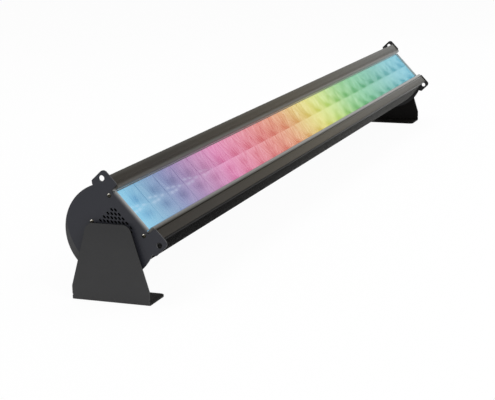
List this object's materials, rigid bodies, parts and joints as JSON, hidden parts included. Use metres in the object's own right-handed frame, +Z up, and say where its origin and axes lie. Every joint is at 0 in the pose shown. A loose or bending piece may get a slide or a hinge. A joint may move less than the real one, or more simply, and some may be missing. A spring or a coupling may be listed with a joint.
{
  "type": "led batten light",
  "caption": "Long LED batten for stage washes: a ribbed head with two rows of light cells, tilting between two bent sheet feet.",
  "frame": {"origin": "middle of the part's box, on the floor under the head", "axes": "+X along the head, +Z up, -Y towards the side that the window faces"},
  "size_m": [1.8478, 0.1898, 0.2289],
  "materials": {
    "housing_black": "satin black anodised extrusion",
    "rail_grey": "satin warm grey anodised extrusion",
    "plate_slate": "fine satin slate powder coat",
    "screw_steel": "bright domed heads",
    "window_clear": "clear polycarbonate",
    "seal_rubber": "black foam rubber",
    "bare_aluminium": "mill finish extrusion",
    "panel_slate": "satin slate coat",
    "screw_black": "black oxide",
    "inlet_blue": "moulded blue plastic",
    "outlet_grey": "moulded grey plastic",
    "socket_black": "black shell",
    "display_glass": "dark gloss window",
    "board_green": "solder mask",
    "supply_metal": "zinc plated case",
    "fan_black": "moulded black plastic",
    "bush_nylon": "natural nylon",
    "button_grey": "moulded grey caps",
    "foot_grey": "fine satin charcoal powder coat",
    "steel_plain": "zinc plated",
    "washer_fibre": "black fibre",
    "cells_1": "diffusing cells lit from behind",
    "board_white": "white solder mask",
    "cells_2": "diffusing cells lit from behind",
    "cells_3": "diffusing cells lit from behind",
    "cells_4": "diffusing cells lit from behind",
    "cells_5": "diffusing cells lit from behind",
    "cells_6": "diffusing cells lit from behind"
  },
  "bodies": {
    "stand_left": {"foot_left": "foot_grey", "pivot_stud_left": "steel_plain", "friction_washer_left": "washer_fibre", "disc_spring_left": "steel_plain", "lock_nut_left": "steel_plain"},
    "head": {"housing": "housing_black", "rail_lower": "rail_grey", "rail_upper": "rail_grey", "end_plate_left": "plate_slate", "end_plate_right": "plate_slate", "end_screws_left": "screw_steel", "end_screws_right": "screw_steel", "window_sheet": "window_clear", "window_seal_lower": "seal_rubber", "window_seal_upper": "seal_rubber", "light_tray_1": "cells_1", "light_tray_2": "cells_2", "light_tray_3": "cells_3", "light_tray_4": "cells_4", "light_tray_5": "cells_5", "light_tray_6": "cells_6", "led_board_1": "board_white", "led_board_2": "board_white", "led_board_3": "board_white", "led_board_4": "board_white", "led_board_5": "board_white", "led_board_6": "board_white", "heat_sink_core": "bare_aluminium", "fan_frame_left": "fan_black", "fan_frame_right": "fan_black", "fan_bulkhead_left": "bare_aluminium", "fan_bulkhead_right": "bare_aluminium", "power_supply_left": "supply_metal", "power_supply_right": "supply_metal", "driver_board_left": "board_green", "driver_board_right": "board_green", "control_board": "board_green", "service_panel": "panel_slate", "panel_screws": "screw_black", "socket_screws": "screw_black", "power_inlet": "inlet_blue", "power_outlet": "outlet_grey", "data_inlet": "socket_black", "data_outlet": "socket_black", "display_window": "display_glass", "pivot_bush_left": "bush_nylon", "pivot_bush_right": "bush_nylon"},
    "stand_right": {"foot_right": "foot_grey", "pivot_stud_right": "steel_plain", "friction_washer_right": "washer_fibre", "disc_spring_right": "steel_plain", "lock_nut_right": "steel_plain"},
    "rotor_left": {"fan_rotor_left": "fan_black"},
    "rotor_right": {"fan_rotor_right": "fan_black"},
    "key_menu": {"button_menu": "button_grey"},
    "key_down": {"button_down": "button_grey"},
    "key_up": {"button_up": "button_grey"},
    "key_enter": {"button_enter": "button_grey"}
  },
  "joints": [
    {"name": "head_tilt", "type": "hinge", "parent": "stand_left", "child": "head", "pos_m": [-0.9149, 0.01022, 0.123], "axis": [1, 0, 0], "continuous": true},
    {"name": "stand_right_swing", "type": "hinge", "parent": "head", "child": "stand_right", "pos_m": [0.9149, 0.01022, 0.123], "axis": [1, 0, 0], "continuous": true},
    {"name": "fan_left_spin", "type": "hinge", "parent": "head", "child": "rotor_left", "pos_m": [-0.8789, 0.00181, 0.13084], "axis": [1, 0, 0], "continuous": true},
    {"name": "fan_right_spin", "type": "hinge", "parent": "head", "child": "rotor_right", "pos_m": [0.8789, 0.00181, 0.13084], "axis": [1, 0, 0], "continuous": true},
    {"name": "press_menu", "type": "slide", "parent": "head", "child": "key_menu", "axis": [0, -0.7314, 0.682], "range_m": [0, 0.0008], "stiffness_N_per_m": 600, "springref_m": -0.001},
    {"name": "press_down", "type": "slide", "parent": "head", "child": "key_down", "axis": [0, -0.7314, 0.682], "range_m": [0, 0.0008], "stiffness_N_per_m": 600, "springref_m": -0.001},
    {"name": "press_up", "type": "slide", "parent": "head", "child": "key_up", "axis": [0, -0.7314, 0.682], "range_m": [0, 0.0008], "stiffness_N_per_m": 600, "springref_m": -0.001},
    {"name": "press_enter", "type": "slide", "parent": "head", "child": "key_enter", "axis": [0, -0.7314, 0.682], "range_m": [0, 0.0008], "stiffness_N_per_m": 600, "springref_m": -0.001}
  ],
  "couplings": [
    {"joint": "stand_right_swing", "follows": "head_tilt", "ratio": -1}
  ]
}
